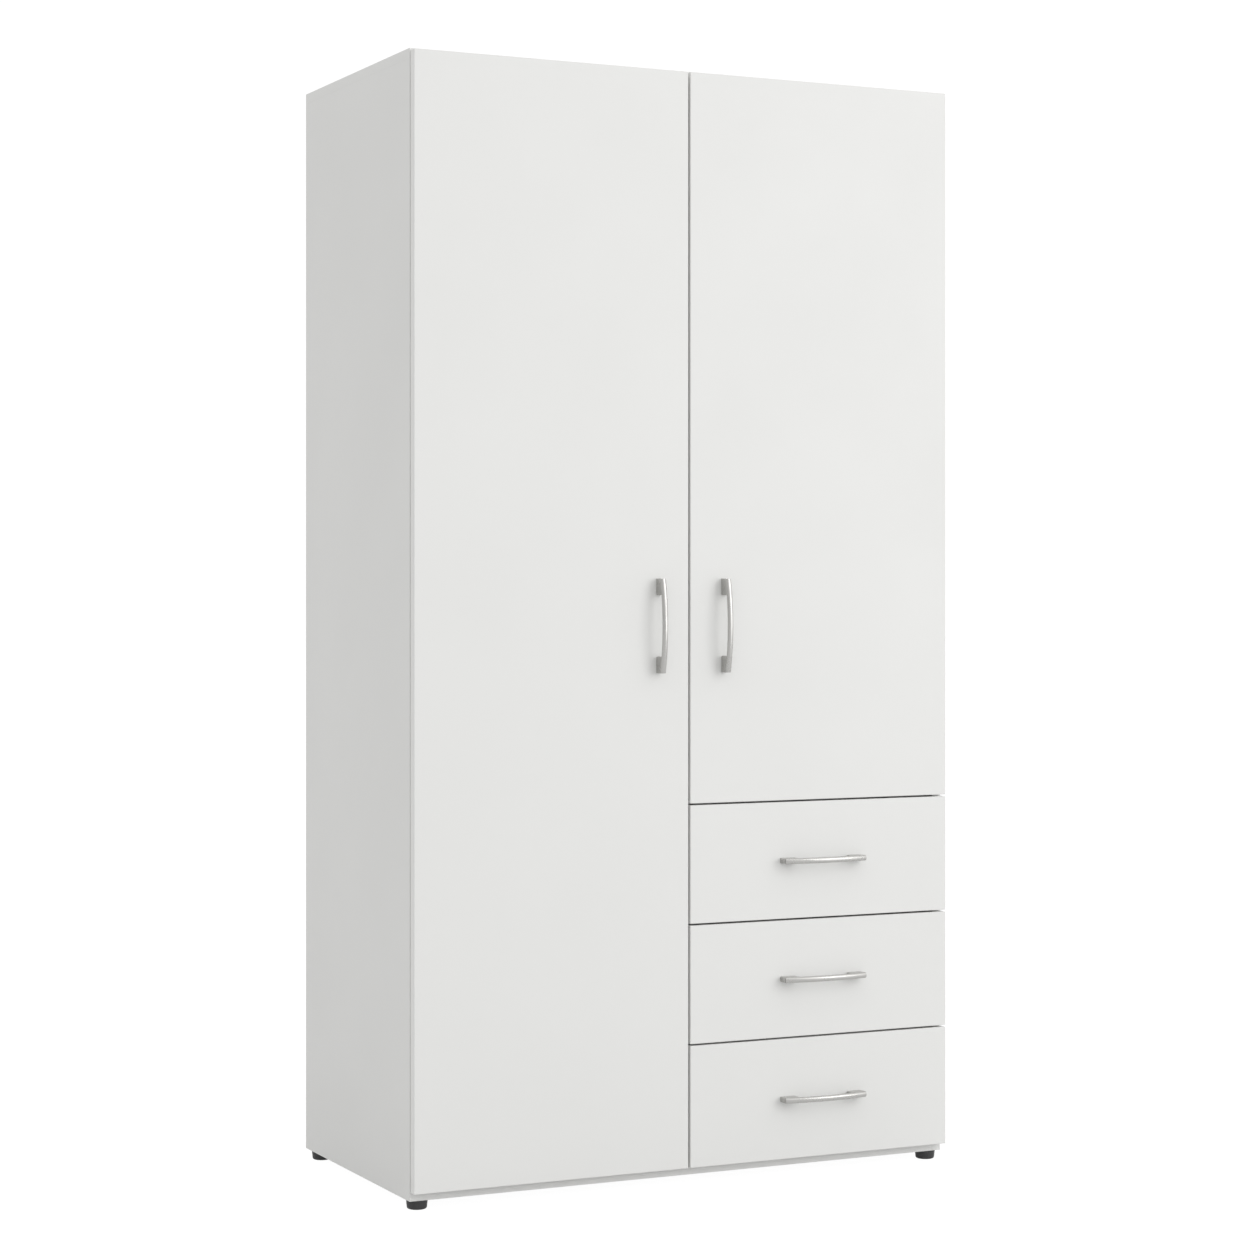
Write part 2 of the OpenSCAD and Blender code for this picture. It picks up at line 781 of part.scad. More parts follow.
module hinge_cup() {
    rim_w = 0.5;
    wing_w = 12;
    wing_z = 28;
    wing_u = cup_in - pole_in + cup_screw_v;
    cup_u = cup_in - pole_in;
    floor_v = pole_v - cup_depth;
    difference() {
        union() {
            along_y([cup_u, floor_v + fit, 0]) cylinder(d = cup_d - 2 * fit, h = cup_depth - fit);
            along_y([cup_u, pole_v, 0]) cylinder(d = cup_d + 2 * rim_w, h = cup_flange);
            block([wing_u - wing_w / 2, pole_v, -wing_z],
                  [wing_u + wing_w / 2, pole_v + cup_flange, wing_z]);
        }
        along_y([cup_u, floor_v + fit + cup_wall, 0])
            cylinder(d = cup_d - 2 * fit - 2 * cup_wall, h = cup_depth + 2 * cut);
        for (dz = [-1, 1]) along_y([wing_u, pole_v - cut, dz * cup_screw_z])
            cylinder(d = screw_d, h = cup_flange + 2 * cut);
    }
    pin_far = cup_u - cup_pivot[0] + pivot_d / 2;
    pin_half = sqrt(pow(cup_d / 2 - fit, 2) - pow(pin_far, 2)) - fit;
    translate([cup_pivot[0], cup_pivot[1], -pin_half]) cylinder(d = pivot_d, h = 2 * pin_half);
}

module cup_bores() {
    cup_u = cup_in - pole_in;
    along_y([cup_u, pole_v - cup_depth, 0]) cylinder(d = cup_d, h = cup_depth + cut);
    for (dz = [-1, 1]) along_y([cup_u + cup_screw_v, pole_v, dz * cup_screw_z])
        screw_hole(short_screw_l);
}

module cup_screws() {
    for (dz = [-1, 1])
        along_y([cup_in - pole_in + cup_screw_v, pole_v + cup_flange, dz * cup_screw_z])
            screw(short_screw_l + cup_flange);
}

// Bowed link from the cup's pin, at the origin, to the slot that the arm's pin moves in
module hinge_link() {
    slot_w = pivot_d + 2 * link_slot_play;
    slot_end_w = slot_w + 2 * link_slot_wall;
    slot_l = link_slot[1] - link_slot[0];
    span = (link_slot[0] + link_slot[1]) / 2;
    steps = 12;
    function bow(s) = -link_bulge * sin(180 * s / span);
    difference() {
        linear_extrude(link_h, center = true) {
            circle(r = pivot_d / 2 + link_eye_wall);
            polygon(concat(
                [for (i = [0 : steps]) let (s = span * i / steps) [s, bow(s) + link_t / 2]],
                [for (i = [steps : -1 : 0]) let (s = span * i / steps) [s, bow(s) - link_t / 2]]
            ));
            translate([span, 0]) oval(slot_l + slot_end_w, slot_end_w);
        }
        translate([0, 0, -link_h]) cylinder(d = pivot_d + running_fit, h = 2 * link_h);
        translate([span, 0, -link_h]) linear_extrude(2 * link_h) oval(slot_l + slot_w, slot_w);
    }
}

module hinge_link_in_place() {
    translate([cup_pivot[0], cup_pivot[1], 0]) rotate([0, 0, link_angle]) hinge_link();
}

module hinge_links_left() {
    color("silver") at_hinges(pole_left_x, false, hinges_left_z) hinge_link_in_place();
}

module hinge_links_right() {
    color("silver") at_hinges(pole_right_x, true, hinges_right_z) hinge_link_in_place();
}

// ---------------------------------------------------------------- handles

// Outline of a bow handle: length along X, height above the front along Y
module handle_outline() {
    rise = handle_proud - handle_end_proud;
    bow_r = (pow(handle_l / 2, 2) + pow(rise, 2)) / (2 * rise);
    arch_l = handle_l - 2 * handle_foot_l;
    difference() {
        intersection() {
            translate([0, handle_proud - bow_r]) circle(r = bow_r, $fn = 360);
            translate([-handle_l / 2, 0]) square([handle_l, handle_proud]);
        }
        intersection() {
            translate([0, handle_proud - bow_r]) circle(r = bow_r - bow_t, $fn = 360);
            translate([-arch_l / 2, -cut]) square([arch_l, handle_proud]);
        }
    }
}

// Handle along X on the plane y = 0, standing out to -Y
module bow_handle() {
    difference() {
        mirror([0, 1, 0]) linear_extrude(handle_w, center = true) handle_outline();
        for (s = [-1, 1]) along_y([s * handle_centres / 2, -handle_end_proud + bow_t, 0])
            cylinder(d = screw_d, h = handle_end_proud);
    }
}

// Screws of a handle, driven from behind the front
module at_handle_screws() {
    for (s = [-1, 1]) along_y([s * handle_centres / 2, front_t, 0]) children();
}

module handle_screws() {
    at_handle_screws() screw(handle_screw_l);
}

module handle_holes() {
    at_handle_screws() screw_hole(front_t + cut);
}

module upright() {
    rotate([0, 90, 0]) children();
}

// ---------------------------------------------------------------- doors

module at_left_handle() {
    translate([left_x1 - left_handle_in, front_y, door_handle_z]) upright() children();
}

module at_right_handle() {
    translate([right_x0 + right_handle_in, front_y, door_handle_z]) upright() children();
}

module door_left() {
    color("white") difference() {
        block([left_x0, front_y, fronts_z0], [left_x1, front_back_y, fronts_z1]);
        at_hinges(pole_left_x, false, hinges_left_z) cup_bores();
        at_left_handle() handle_holes();
    }
}

module door_left_handle() {
    color("silver") at_left_handle() bow_handle();
}

module door_left_hinge_cups() {
    color("silver") at_hinges(pole_left_x, false, hinges_left_z) hinge_cup();
}

module door_left_screws() {
    color("silver") {
        at_hinges(pole_left_x, false, hinges_left_z) cup_screws();
        at_left_handle() handle_screws();
    }
}

module door_right() {
    color("white") difference() {
        block([right_x0, front_y, right_door_z0], [right_x1, front_back_y, fronts_z1]);
        at_hinges(pole_right_x, true, hinges_right_z) cup_bores();
        at_right_handle() handle_holes();
    }
}

module door_right_handle() {
    color("silver") at_right_handle() bow_handle();
}

module door_right_hinge_cups() {
    color("silver") at_hinges(pole_right_x, true, hinges_right_z) hinge_cup();
}

module door_right_screws() {
    color("silver") {
        at_hinges(pole_right_x, true, hinges_right_z) cup_screws();
        at_right_handle() handle_screws();
    }
}

// ---------------------------------------------------------------- drawers

// A corner's frame: +X goes into the front, and the cam is in the inner face of the side
module at_box_corners(n) {
    translate([box_x0 + box_t / 2, front_back_y, box_z(n)]) rotate([0, 0, -90]) children();
    translate([box_x1 - box_t / 2, front_back_y, box_z(n)]) mirror([1, 0, 0]) rotate([0, 0, -90])
        children();
}

module box_corner_bores() {
    translate([-cam_in, 0, box_cam_z]) rotate([-90, 0, 0])
        translate([0, 0, box_t / 2 - box_cam_depth]) cylinder(d = box_cam_d, h = box_cam_depth + cut);
    along_x([-cam_in, 0, box_cam_z]) cylinder(d = thread_d, h = cam_in + thread_l);
    for (z = box_dowel_zs) along_x([-box_dowel_in, 0, z])
        cylinder(d = box_dowel_d, h = box_dowel_in + box_dowel_out);
}

module box_corner_fixings() {
    difference() {
        translate([-cam_in, 0, box_cam_z]) rotate([-90, 0, 0])
            translate([0, 0, box_t / 2 - box_cam_depth + fit])
                cylinder(d = box_cam_d - fit, h = box_cam_depth - fit);
        along_x([-cam_in - cut, 0, box_cam_z]) cylinder(d = thread_d + fit, h = cam_d);
    }
    along_x([-cam_in, 0, box_cam_z]) cylinder(d = thread_d - fit, h = cam_in + thread_l - fit);
    for (z = box_dowel_zs) along_x([-box_dowel_in + fit, 0, z])
        cylinder(d = box_dowel_d - fit, h = box_dowel_in + box_dowel_out - 2 * fit);
}

// Screws through the drawer sides into the ends of the back, heads sunk flush
module at_box_screws(n) {
    for (z = box_screw_zs) {
        facing_x([box_x0 + screw_head_t, box_y1 - box_t / 2, box_z(n) + z], -1) children();
        facing_x([box_x1 - screw_head_t, box_y1 - box_t / 2, box_z(n) + z], 1) children();
    }
}

module box_screw_hole() {
    screw_hole(box_screw_l);
    cylinder(d = screw_head_d + fit, h = screw_head_t + cut);
}

module groove(n) {
    block([box_x0 + box_t - groove_depth, front_back_y - groove_depth, box_z(n) + groove_rise],
          [box_x1 - box_t + groove_depth, box_y1 + cut, box_z(n) + groove_rise + back_t + 2 * fit]);
}

module at_drawer_handle(n) {
    translate([(right_x0 + right_x1) / 2, front_y, front_z(n) + front_h(n) / 2]) children();
}

module drawer_front(n) {
    color("white") difference() {
        block([right_x0, front_y, front_z(n)], [right_x1, front_back_y, front_z(n) + front_h(n)]);
        at_box_corners(n) box_corner_bores();
        at_drawer_handle(n) handle_holes();
        groove(n);
    }
}

module drawer_side(n, x0) {
    color("white") difference() {
        block([x0, front_back_y, box_z(n)], [x0 + box_t, box_y1, box_z(n) + box_h]);
        at_box_corners(n) box_corner_bores();
        at_box_screws(n) box_screw_hole();
        groove(n);
    }
}

module drawer_back(n) {
    color("white") difference() {
        block([box_x0 + box_t, box_y1 - box_t, box_z(n) + groove_rise + back_t + 2 * fit],
              [box_x1 - box_t, box_y1, box_z(n) + box_h]);
        at_box_screws(n) screw_hole(box_screw_l);
    }
}

module drawer_bottom(n) {
    color("white")
        block([box_x0 + box_t - groove_depth + fit, front_back_y - groove_depth + fit,
               box_z(n) + groove_rise + fit],
              [box_x1 - box_t + groove_depth - fit, box_y1, box_z(n) + groove_rise + fit + back_t]);
}

module drawer_handle(n) {
    color("silver") at_drawer_handle(n) bow_handle();
}

module drawer_fixings(n) {
    color("silver") {
        at_box_corners(n) box_corner_fixings();
        at_box_screws(n) screw(box_screw_l - fit);
        at_drawer_handle(n) handle_screws();
    }
}

// Runner frame: +X goes from the panel towards the drawer and z = 0 is the channel's underside
module at_runners_left(n) {
    translate([divider_x1, 0, runner_z(n)]) children();
}

module at_runners_right(n) {
    translate([side_in, 0, runner_z(n)]) mirror([1, 0, 0]) children();
}

// Channel screwed to the panel, with a pad at its front that carries the drawer's rail
module cabinet_runner() {
    difference() {
        union() {
            block([0, runner_y0, 0], [sheet_t, runner_y1, runner_h]);
            block([0, runner_y0, 0], [runner_reach, runner_y1, sheet_t]);
            block([0, runner_y0, runner_h - sheet_t], [runner_reach, runner_y1, runner_h]);
            block([0, runner_y1 - sheet_t, 0], [runner_reach, runner_y1, runner_h]);
        }
        for (y = runner_screw_ys) along_x([-cut, y, runner_screw_rise])
            cylinder(d = screw_d, h = sheet_t + 2 * cut);
    }
    block([sheet_t, runner_y0, sheet_t],
          [runner_reach, runner_y0 + front_pad_l, runner_flange_z - runner_play]);
}

// Rail on the drawer's side, with sliding pads in the channel at its rear end
module drawer_runner() {
    y1 = box_y1 - pad_setback;
    pad_x0 = sheet_t + runner_play;
    pad_x1 = runner_room - sheet_t;
    upper_pad_x0 = sheet_t + screw_head_t + runner_play;
    block([pad_x1, carcass_y0, runner_flange_z], [runner_room, y1, runner_h - pad_setback]);
    block([pad_x0, carcass_y0, runner_flange_z], [runner_room, y1, runner_flange_z + sheet_t]);
    block([pad_x0, y1 - pad_l, sheet_t + runner_play], [pad_x1, y1, runner_flange_z]);
    block([upper_pad_x0, y1 - pad_l, runner_flange_z + sheet_t],
          [runner_reach, y1, runner_h - sheet_t - runner_play]);
}

module runners_left() {
    color("whitesmoke") for (n = [1 : 3]) at_runners_left(n) cabinet_runner();
}

module runners_right() {
    color("whitesmoke") for (n = [1 : 3]) at_runners_right(n) cabinet_runner();
}

module drawer_runners(n) {
    color("whitesmoke") {
        at_runners_left(n) drawer_runner();
        at_runners_right(n) drawer_runner();
    }
}

module drawer_side_left(n) {
    drawer_side(n, box_x0);
}

module drawer_side_right(n) {
    drawer_side(n, box_x1 - box_t);
}

// ---------------------------------------------------------------- nodes

side_panel_left();
side_panel_right();
top_panel();
bottom_panel();
divider_panel();
back_panel_left();
back_panel_right();
back_panel_nails();
hat_shelf();
drawer_top_shelf();
adjustable_shelf_1();
adjustable_shelf_2();
shelf_pins();
clothes_rail();
rail_brackets();
cam_fittings();
dowels();
carcass_screws();
hinge_plates();
hinge_arms();
runners_left();
runners_right();
door_bumpers();
wall_brackets();
feet();
door_left();
door_left_handle();
door_left_hinge_cups();
door_left_screws();
hinge_links_left();
door_right();
door_right_handle();
door_right_hinge_cups();
door_right_screws();
hinge_links_right();
for (n = [1 : 3]) {
    name = str("drawer_", n);
    drawer_front(n);
    drawer_side_left(n);
    drawer_side_right(n);
    drawer_back(n);
    drawer_bottom(n);
    drawer_runners(n);
    drawer_handle(n);
    drawer_fixings(n);
}
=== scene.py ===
"""Looks of a two-door wardrobe with three drawers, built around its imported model. Units are metres."""
import json
import math
from contextlib import contextmanager

import bpy
from mathutils import Matrix, Vector


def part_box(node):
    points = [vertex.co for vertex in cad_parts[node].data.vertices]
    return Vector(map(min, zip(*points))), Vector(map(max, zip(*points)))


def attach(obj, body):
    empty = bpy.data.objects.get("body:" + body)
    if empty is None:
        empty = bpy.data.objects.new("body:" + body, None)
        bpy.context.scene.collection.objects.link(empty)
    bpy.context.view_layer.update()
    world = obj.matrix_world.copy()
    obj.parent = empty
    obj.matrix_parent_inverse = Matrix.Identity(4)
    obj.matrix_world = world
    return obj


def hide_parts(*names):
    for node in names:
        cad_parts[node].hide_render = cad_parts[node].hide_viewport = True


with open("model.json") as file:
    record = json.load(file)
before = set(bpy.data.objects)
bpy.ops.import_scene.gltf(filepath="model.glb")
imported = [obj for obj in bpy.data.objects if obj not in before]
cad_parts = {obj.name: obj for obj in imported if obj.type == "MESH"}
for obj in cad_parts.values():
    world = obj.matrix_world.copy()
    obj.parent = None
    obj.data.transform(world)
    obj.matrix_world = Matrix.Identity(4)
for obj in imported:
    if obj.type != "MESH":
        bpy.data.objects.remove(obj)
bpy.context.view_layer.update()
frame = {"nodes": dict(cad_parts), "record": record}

MM = 0.001
DRAWERS = (1, 2, 3)
body_of_node = {
    node: body for body, nodes in frame["record"]["behaviour"]["bodies"].items() for node in nodes}


# ------------------------------------------------------------------ modelling by hand

def focus(piece):
    """Selects one object alone and makes it active."""
    bpy.ops.object.select_all(action="DESELECT")
    piece.select_set(True)
    bpy.context.view_layer.objects.active = piece


@contextmanager
def editing(piece, mode):
    """Edit mode on one object with the elements that were picked. mode is VERT, EDGE or FACE."""
    focus(piece)
    bpy.context.scene.tool_settings.mesh_select_mode = [mode == m for m in ("VERT", "EDGE", "FACE")]
    bpy.ops.object.mode_set(mode="EDIT")
    yield
    bpy.ops.object.mode_set(mode="OBJECT")


def pick_nothing(piece):
    """Unpicks every face, edge and corner."""
    for group in (piece.data.polygons, piece.data.edges, piece.data.vertices):
        group.foreach_set("select", [False] * len(group))


def pick_faces(piece, test):
    """Picks the faces for which test(centre, normal) holds."""
    pick_nothing(piece)
    mesh = piece.data
    for face in mesh.polygons:
        if test(face.center, face.normal):
            face.select = True
            for key in face.edge_keys:
                for index in key:
                    mesh.vertices[index].select = True


def pick_edges(piece, test):
    """Picks the edges for which test(end, end) holds."""
    pick_nothing(piece)
    points = piece.data.vertices
    for edge in piece.data.edges:
        ends = [points[i] for i in edge.vertices]
        if test(ends[0].co, ends[1].co):
            edge.select = True
            for end in ends:
                end.select = True


def settle(piece):
    """Moves an object's place, turn and size into its mesh."""
    focus(piece)
    bpy.ops.object.transform_apply(location=True, rotation=True, scale=True)


def turn_faces_out(piece):
    """Merges doubled corners, then turns every face outwards."""
    with editing(piece, "FACE"):
        bpy.ops.mesh.select_all(action="SELECT")
        bpy.ops.mesh.remove_doubles(threshold=0.002 * MM)
        bpy.ops.mesh.normals_make_consistent(inside=False)


def shade(piece, degrees=35):
    """Smooth over small bends, with flat faces kept flat."""
    focus(piece)
    bpy.ops.object.shade_smooth_by_angle(angle=math.radians(degrees))
    even = piece.modifiers.new("even", "WEIGHTED_NORMAL")
    even.keep_sharp = True
    bpy.ops.object.modifier_apply(modifier=even.name)


def add_block(name, low, high):
    """A block between two corners."""
    low, high = Vector(low), Vector(high)
    bpy.ops.object.select_all(action="DESELECT")
    bpy.ops.mesh.primitive_cube_add(size=1, location=(low + high) / 2)
    piece = bpy.context.object
    piece.name = name
    piece.scale = high - low
    settle(piece)
    return piece


def bevel_picked(piece, width, segments):
    """Rounds the picked edges."""
    with editing(piece, "EDGE"):
        bpy.ops.mesh.bevel(
            offset=width, offset_type="OFFSET", segments=segments, affect="EDGES",
            clamp_overlap=False)


def copy_object(source, name):
    """A copy of an object, with a mesh of its own."""
    piece = bpy.data.objects.new(name, source.data.copy())
    bpy.context.scene.collection.objects.link(piece)
    return piece


def copy_node(node, name):
    """A loose copy of a CAD node with its corners merged and its flat faces joined."""
    piece = copy_object(frame["nodes"][node], name)
    piece.data.materials.clear()
    focus(piece)
    bpy.ops.mesh.customdata_custom_splitnormals_clear()
    with editing(piece, "VERT"):
        bpy.ops.mesh.select_all(action="SELECT")
        bpy.ops.mesh.remove_doubles(threshold=0.005 * MM)
        bpy.ops.mesh.dissolve_limited(angle_limit=math.radians(0.3))
    return piece


def fit_out(piece, material, node):
    """Gives a piece its material, and the body of a CAD node."""
    piece.data.materials.clear()
    piece.data.materials.append(material)
    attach(piece, body_of_node[node])


def stand_for(piece, material, node):
    """Puts a finished piece in place of a CAD node."""
    fit_out(piece, material, node)
    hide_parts(node)


# ------------------------------------------------------------------ shader node groups

def add_node(tree, kind, **settings):
    node = tree.nodes.new(kind)
    for key, value in settings.items():
        setattr(node, key, value)
    return node


def set_or_link(tree, value, socket):
    """Feeds an input from another node's output, or with a plain value."""
    if isinstance(value, bpy.types.NodeSocket):
        tree.links.new(value, socket)
    else:
        socket.default_value = value


def math_node(tree, operation, first, second):
    node = add_node(tree, "ShaderNodeMath", operation=operation)
    set_or_link(tree, first, node.inputs[0])
    set_or_link(tree, second, node.inputs[1])
    return node.outputs[0]


def vector_node(tree, operation, first, second):
    node = add_node(tree, "ShaderNodeVectorMath", operation=operation)
    set_or_link(tree, first, node.inputs[0])
    set_or_link(tree, second, node.inputs[1])
    return node.outputs


def noise_node(tree, place, scale, detail):
    node = add_node(tree, "ShaderNodeTexNoise")
    tree.links.new(place, node.inputs["Vector"])
    set_or_link(tree, scale, node.inputs["Scale"])
    node.inputs["Detail"].default_value = detail
    return node.outputs["Fac"]


def new_group(name, inputs, outputs):
    """A shader node group. inputs gives each float input's default, outputs names its values."""
    tree = bpy.data.node_groups.new(name, "ShaderNodeTree")
    for label, default in inputs.items():
        tree.interface.new_socket(
            label, in_out="INPUT", socket_type="NodeSocketFloat").default_value = default
    for label in outputs:
        tree.interface.new_socket(label, in_out="OUTPUT", socket_type="NodeSocketFloat")
    return tree, add_node(tree, "NodeGroupInput").outputs, add_node(tree, "NodeGroupOutput").inputs


def make_grain_group():
    """Fine pressed or moulded grain, and a slow change of tone over the surface."""
    tree, given, result = new_group(
        "Fine grain", {"Grain scale": 900.0, "Patch scale": 5.0}, ("Height", "Patches"))
    place = add_node(tree, "ShaderNodeTexCoord").outputs["Object"]
    tree.links.new(noise_node(tree, place, given["Grain scale"], 3.0), result["Height"])
    tree.links.new(noise_node(tree, place, given["Patch scale"], 4.0), result["Patches"])
    return tree


def make_wear_and_highlight_group():
    """Worn corners, and on metal a painted edge highlight: strong where the surface bends sharply, and
    broken up by noise.
    """
    tree, given, result = new_group("Edge wear and highlight", {"Radius": 1.0 * MM, "Amount": 1.0}, ("Mask",))
    place = add_node(tree, "ShaderNodeTexCoord").outputs["Object"]
    rounded = add_node(tree, "ShaderNodeBevel", samples=2)
    tree.links.new(given["Radius"], rounded.inputs["Radius"])
    flat = add_node(tree, "ShaderNodeNewGeometry").outputs["True Normal"]
    likeness = vector_node(tree, "DOT_PRODUCT", rounded.outputs["Normal"], flat)["Value"]
    bend = math_node(tree, "SUBTRACT", 1.0, likeness)
    broken = math_node(tree, "MULTIPLY", bend, noise_node(tree, place, 60.0, 5.0))
    clamp = add_node(tree, "ShaderNodeClamp")
    tree.links.new(math_node(tree, "MULTIPLY", broken, given["Amount"]), clamp.inputs["Value"])
    tree.links.new(clamp.outputs["Result"], result["Mask"])
    return tree


def make_brushed_group():
    """Brush lines, which run along the axis with the low scale, and smudges in the gloss."""
    tree, given, result = new_group(
        "Brush lines", {"Scale X": 900.0, "Scale Y": 900.0, "Scale Z": 900.0},
        ("Lines", "Smudges"))
    place = add_node(tree, "ShaderNodeTexCoord").outputs["Object"]
    scale = add_node(tree, "ShaderNodeCombineXYZ")
    for axis in "XYZ":
        tree.links.new(given["Scale " + axis], scale.inputs[axis])
    stretched = vector_node(tree, "MULTIPLY", place, scale.outputs["Vector"])["Vector"]
    tree.links.new(noise_node(tree, stretched, 1.0, 2.0), result["Lines"])
    tree.links.new(noise_node(tree, place, 35.0, 3.0), result["Smudges"])
    return tree


GRAIN = make_grain_group()
WEAR_AND_HIGHLIGHT = make_wear_and_highlight_group()
BRUSHED = make_brushed_group()


def place_group(tree, group, values):
    """Places a node group with its own values, and gives its outputs."""
    node = add_node(tree, "ShaderNodeGroup", node_tree=group)
    for label, value in values.items():
        node.inputs[label].default_value = value
    return node.outputs


def blend_colours(tree, mask, first, second):
    """One colour where the mask is 0 and the other where it is 1."""
    mix = add_node(tree, "ShaderNodeMix", data_type="RGBA")
    tree.links.new(mask, mix.inputs["Factor"])
    for label, value in (("A", first), ("B", second)):
        socket = next(s for s in mix.inputs if s.name == label and s.type == "RGBA")
        set_or_link(tree, (*value, 1.0) if isinstance(value, tuple) else value, socket)
    return next(s for s in mix.outputs if s.type == "RGBA")


def spread_noise(tree, value, low, high):
    """Stretches the middle of a noise over low to high."""
    node = add_node(tree, "ShaderNodeMapRange")
    tree.links.new(value, node.inputs["Value"])
    node.inputs["From Min"].default_value = 0.3
    node.inputs["From Max"].default_value = 0.7
    node.inputs["To Min"].default_value = low
    node.inputs["To Max"].default_value = high
    return node.outputs["Result"]


def add_bump(tree, shader, height, strength, depth):
    """Raises the surface by a height pattern, up to the depth."""
    bump = add_node(tree, "ShaderNodeBump")
    bump.inputs["Strength"].default_value = strength
    bump.inputs["Distance"].default_value = depth
    tree.links.new(height, bump.inputs["Height"])
    tree.links.new(bump.outputs["Normal"], shader.inputs["Normal"])


def new_material(name):
    """A new material, its node tree and its main shader."""
    material = bpy.data.materials.new(name)
    material.use_nodes = True
    return material, material.node_tree, material.node_tree.nodes["Principled BSDF"]


# ------------------------------------------------------------------ finishes

WEAR_REACH = 0.9 * MM
WEAR_AMOUNT = 1.2
# Metal edges: the reach and amount of the edge mask, and the gain that brightens them in colour as a
# painted edge highlight.
RUB_HIGHLIGHT_REACH = 0.5 * MM
RUB_HIGHLIGHT_AMOUNT = 0.8
RUB_HIGHLIGHT_GAIN = 1.12


def grained(name, tones, worn, gloss, grain, patch, bump):
    """A pressed, painted or moulded surface: two close tones, worn edges and uneven gloss.

    gloss gives the least and the greatest roughness, grain and patch are noise scales, and bump is
    a strength and a depth.
    """
    material, tree, shader = new_material(name)
    fine = place_group(tree, GRAIN, {"Grain scale": grain, "Patch scale": patch})
    edges = place_group(tree, WEAR_AND_HIGHLIGHT, {"Radius": WEAR_REACH, "Amount": WEAR_AMOUNT})
    tone = blend_colours(tree, fine["Patches"], *tones)
    tree.links.new(blend_colours(tree, edges["Mask"], tone, worn), shader.inputs["Base Color"])
    tree.links.new(spread_noise(tree, fine["Patches"], *gloss), shader.inputs["Roughness"])
    add_bump(tree, shader, fine["Height"], *bump)
    return material


def metal(name, tones, gloss, scales, bump):
    """A brushed, plated or cast metal: fine lines, edges worn by rubbing and brightened in colour as a
    painted highlight, and smudged gloss.

    scales are the noise scales along X, Y and Z, and the lines run along the axis with the lowest.
    """
    material, tree, shader = new_material(name)
    shader.inputs["Metallic"].default_value = 1.0
    brushed = place_group(tree, BRUSHED, dict(zip(("Scale X", "Scale Y", "Scale Z"), scales)))
    edges = place_group(tree, WEAR_AND_HIGHLIGHT, {"Radius": RUB_HIGHLIGHT_REACH, "Amount": RUB_HIGHLIGHT_AMOUNT})
    # The worn metal edges are painted brighter than the metal: a painted edge highlight.
    highlit_worn_edge = tuple(min(1.0, RUB_HIGHLIGHT_GAIN * value) for value in tones[0])
    tone = blend_colours(tree, brushed["Lines"], *tones)
    tree.links.new(blend_colours(tree, edges["Mask"], tone, highlit_worn_edge), shader.inputs["Base Color"])
    tree.links.new(spread_noise(tree, brushed["Smudges"], *gloss), shader.inputs["Roughness"])
    add_bump(tree, shader, brushed["Lines"], *bump)
    return material


def hardboard(name, rear, skin=0.4 * MM):
    """Thin hardboard: white lacquer inside, and bare brown fibre within a skin of the rear plane."""
    material, tree, shader = new_material(name)
    fine = place_group(tree, GRAIN, {"Grain scale": 420.0, "Patch scale": 9.0})
    split = add_node(tree, "ShaderNodeSeparateXYZ")
    tree.links.new(add_node(tree, "ShaderNodeTexCoord").outputs["Object"], split.inputs["Vector"])
    is_rear = math_node(tree, "GREATER_THAN", split.outputs["Y"], rear - skin)
    pale_fibre = blend_colours(tree, fine["Patches"], (0.30, 0.20, 0.12), (0.44, 0.31, 0.20))
    fibre = blend_colours(tree, fine["Height"], (0.20, 0.12, 0.07), pale_fibre)
    lacquer = blend_colours(tree, fine["Patches"], (0.80, 0.80, 0.78), (0.76, 0.76, 0.74))
    tree.links.new(blend_colours(tree, is_rear, lacquer, fibre), shader.inputs["Base Color"])
    tree.links.new(spread_noise(tree, fine["Patches"], 0.48, 0.64), shader.inputs["Roughness"])
    add_bump(tree, shader, fine["Height"], 0.35, 0.12 * MM)
    return material


melamine = grained(
    "white_melamine",
    tones=((0.835, 0.835, 0.822), (0.815, 0.815, 0.802)), worn=(0.72, 0.71, 0.69),
    gloss=(0.40, 0.52), grain=1100.0, patch=4.0, bump=(0.20, 0.05 * MM))
edge_banding = grained(
    "white_edge_banding",
    tones=((0.85, 0.85, 0.838), (0.825, 0.825, 0.812)), worn=(0.76, 0.75, 0.73),
    gloss=(0.28, 0.40), grain=500.0, patch=12.0, bump=(0.10, 0.03 * MM))
box_board = grained(
    "white_drawer_board",
    tones=((0.80, 0.80, 0.785), (0.77, 0.77, 0.755)), worn=(0.66, 0.64, 0.60),
    gloss=(0.44, 0.58), grain=800.0, patch=6.0, bump=(0.25, 0.05 * MM))
powder_coat = grained(
    "white_powder_coat",
    tones=((0.82, 0.82, 0.81), (0.78, 0.78, 0.77)), worn=(0.60, 0.60, 0.60),
    gloss=(0.34, 0.46), grain=1600.0, patch=10.0, bump=(0.35, 0.05 * MM))
black_plastic = grained(
    "black_moulded_plastic",
    tones=((0.034, 0.034, 0.035), (0.048, 0.048, 0.049)), worn=(0.12, 0.12, 0.12),
    gloss=(0.40, 0.54), grain=1300.0, patch=30.0, bump=(0.30, 0.05 * MM))
bumper_plastic = grained(
    "soft_bumper",
    tones=((0.72, 0.74, 0.74), (0.66, 0.68, 0.68)), worn=(0.60, 0.62, 0.62),
    gloss=(0.20, 0.34), grain=400.0, patch=80.0, bump=(0.10, 0.02 * MM))
beech = grained(
    "beech_dowel",
    tones=((0.62, 0.44, 0.26), (0.48, 0.32, 0.18)), worn=(0.40, 0.27, 0.15),
    gloss=(0.55, 0.70), grain=700.0, patch=120.0, bump=(0.40, 0.10 * MM))
